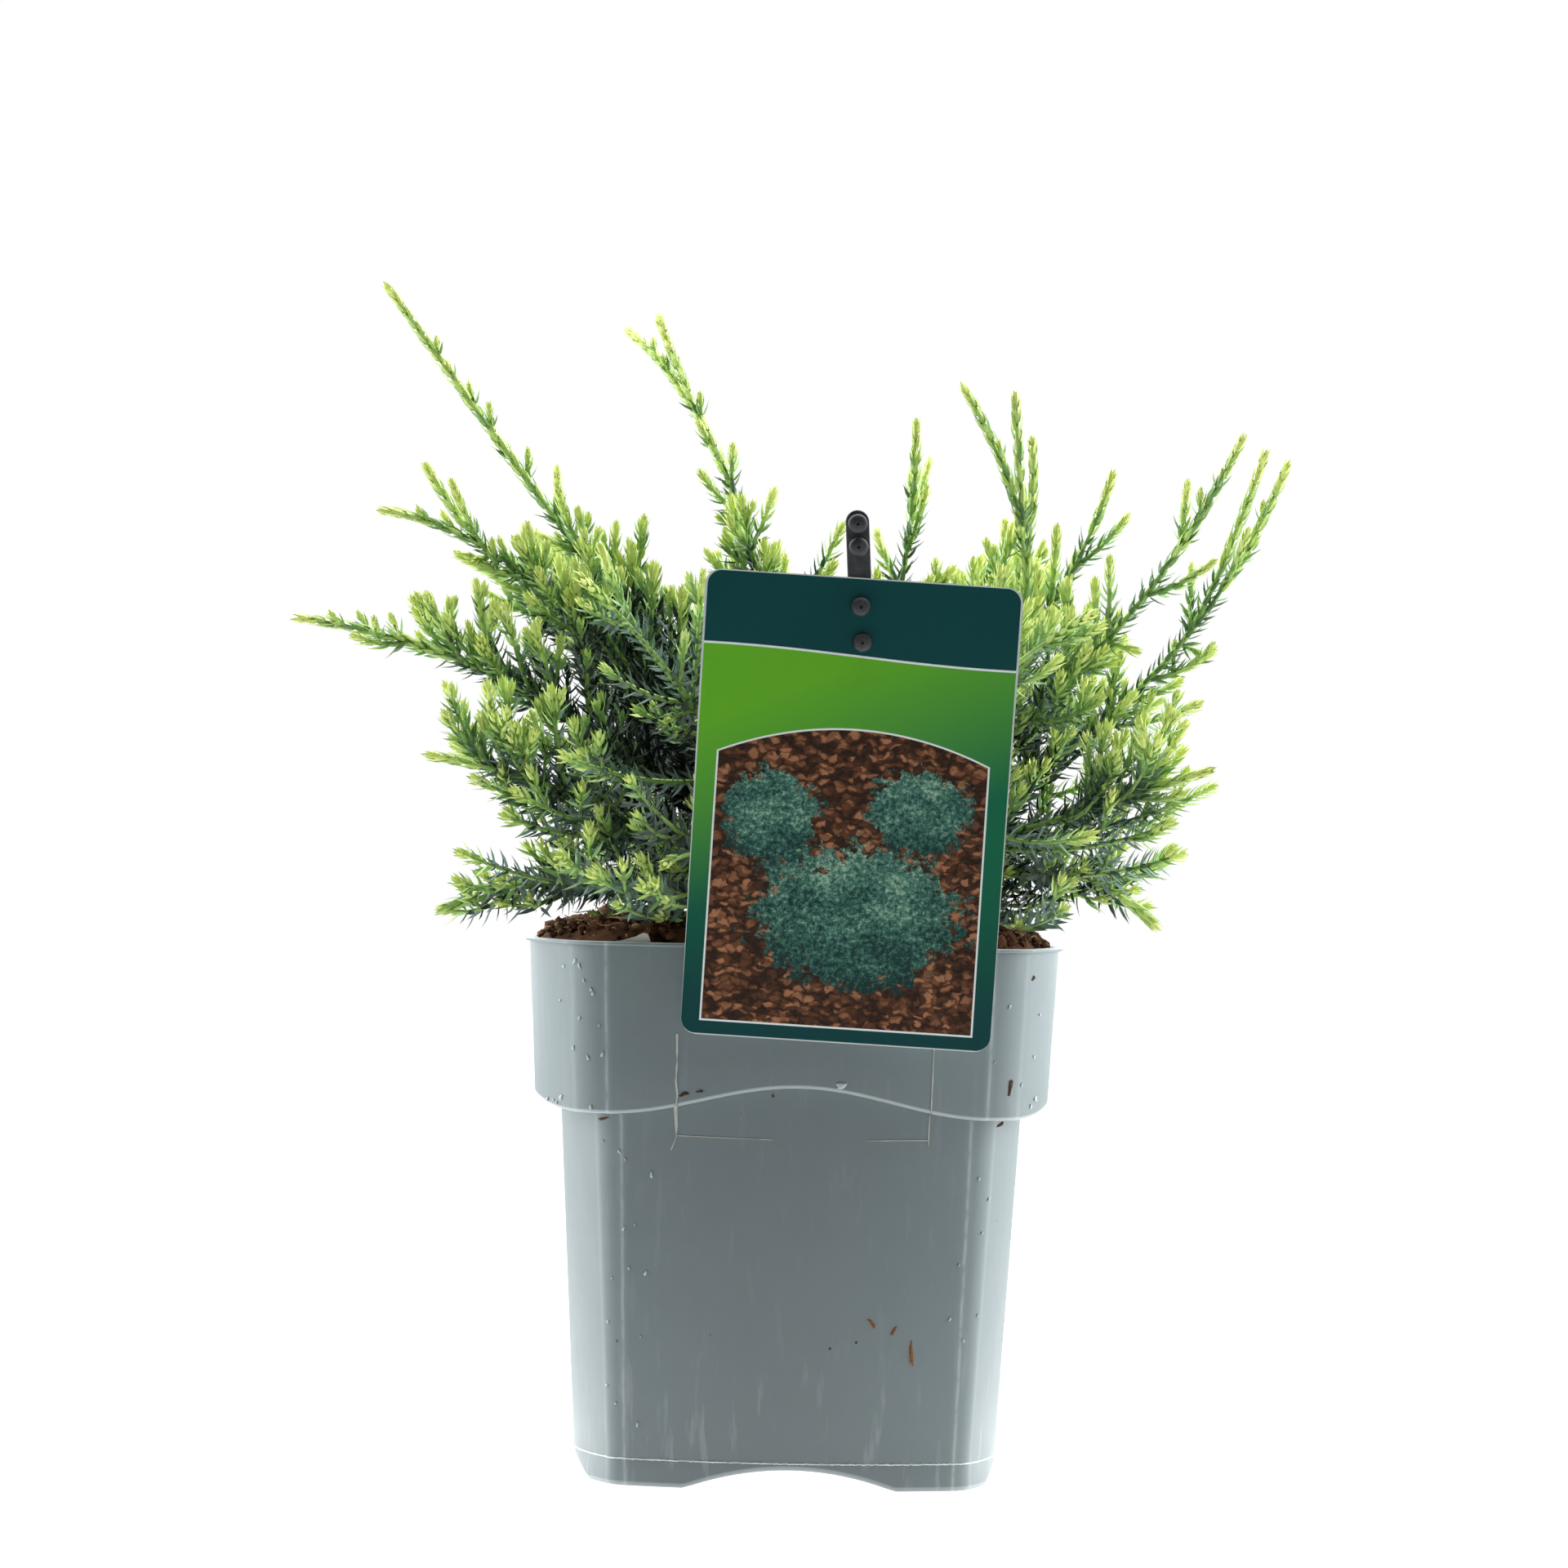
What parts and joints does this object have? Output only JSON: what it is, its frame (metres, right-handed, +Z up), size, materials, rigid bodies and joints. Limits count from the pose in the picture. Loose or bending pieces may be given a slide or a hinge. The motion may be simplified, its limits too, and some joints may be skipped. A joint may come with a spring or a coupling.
{
  "type": "potted juniper shrub",
  "caption": "Spreading juniper shrub with awl-shaped needles in a square nursery pot, with a picture label on a studded stake",
  "frame": {"origin": "under the middle of the plant, on the plane that the pot's feet stand on", "axes": "+Z up, +X to the right as seen from the front, -Y towards the viewer and the label"},
  "size_m": [0.3269, 0.235, 0.388],
  "materials": {
    "pot": "semi-gloss grey injection-moulded plastic",
    "soil": "moist dark peat with light fibres",
    "bark": "rough red-brown bark",
    "foliage": "stiff matt needles, yellow-green at the tips and blue-green inside",
    "label": "printed satin plastic sheet",
    "holder": "black moulded plastic"
  },
  "bodies": {
    "root": {"pot": "pot", "soil": "soil", "trunk": "bark", "label": "label", "label_holder": "holder", "bough_left_leader": "bark", "bough_left_upper": "bark", "bough_left_outer": "bark", "bough_left_mid": "bark", "bough_left_low": "bark", "bough_front_left": "bark", "bough_front_low_left": "bark", "bough_centre_leader": "bark", "bough_right_inner": "bark", "bough_right_leader": "bark", "bough_right_rear_leader": "bark", "bough_right_upper": "bark", "bough_right_outer": "bark", "bough_right_twin": "bark", "bough_right_mid": "bark", "bough_right_low": "bark", "bough_front_right": "bark", "bough_front_middle": "bark", "bough_back_left": "bark", "bough_back_right": "bark", "bough_back_middle": "bark", "bough_back_low_left": "bark", "bough_back_low_right": "bark", "foliage_left_leader": "foliage", "foliage_left_upper": "foliage", "foliage_left_outer": "foliage", "foliage_left_mid": "foliage", "foliage_left_low": "foliage", "foliage_front_left": "foliage", "foliage_front_low_left": "foliage", "foliage_centre_leader": "foliage", "foliage_right_inner": "foliage", "foliage_right_leader": "foliage", "foliage_right_rear_leader": "foliage", "foliage_right_upper": "foliage", "foliage_right_outer": "foliage", "foliage_right_twin": "foliage", "foliage_right_mid": "foliage", "foliage_right_low": "foliage", "foliage_front_right": "foliage", "foliage_front_middle": "foliage", "foliage_back_left": "foliage", "foliage_back_right": "foliage", "foliage_back_middle": "foliage", "foliage_back_low_left": "foliage", "foliage_back_low_right": "foliage"}
  },
  "joints": []
}
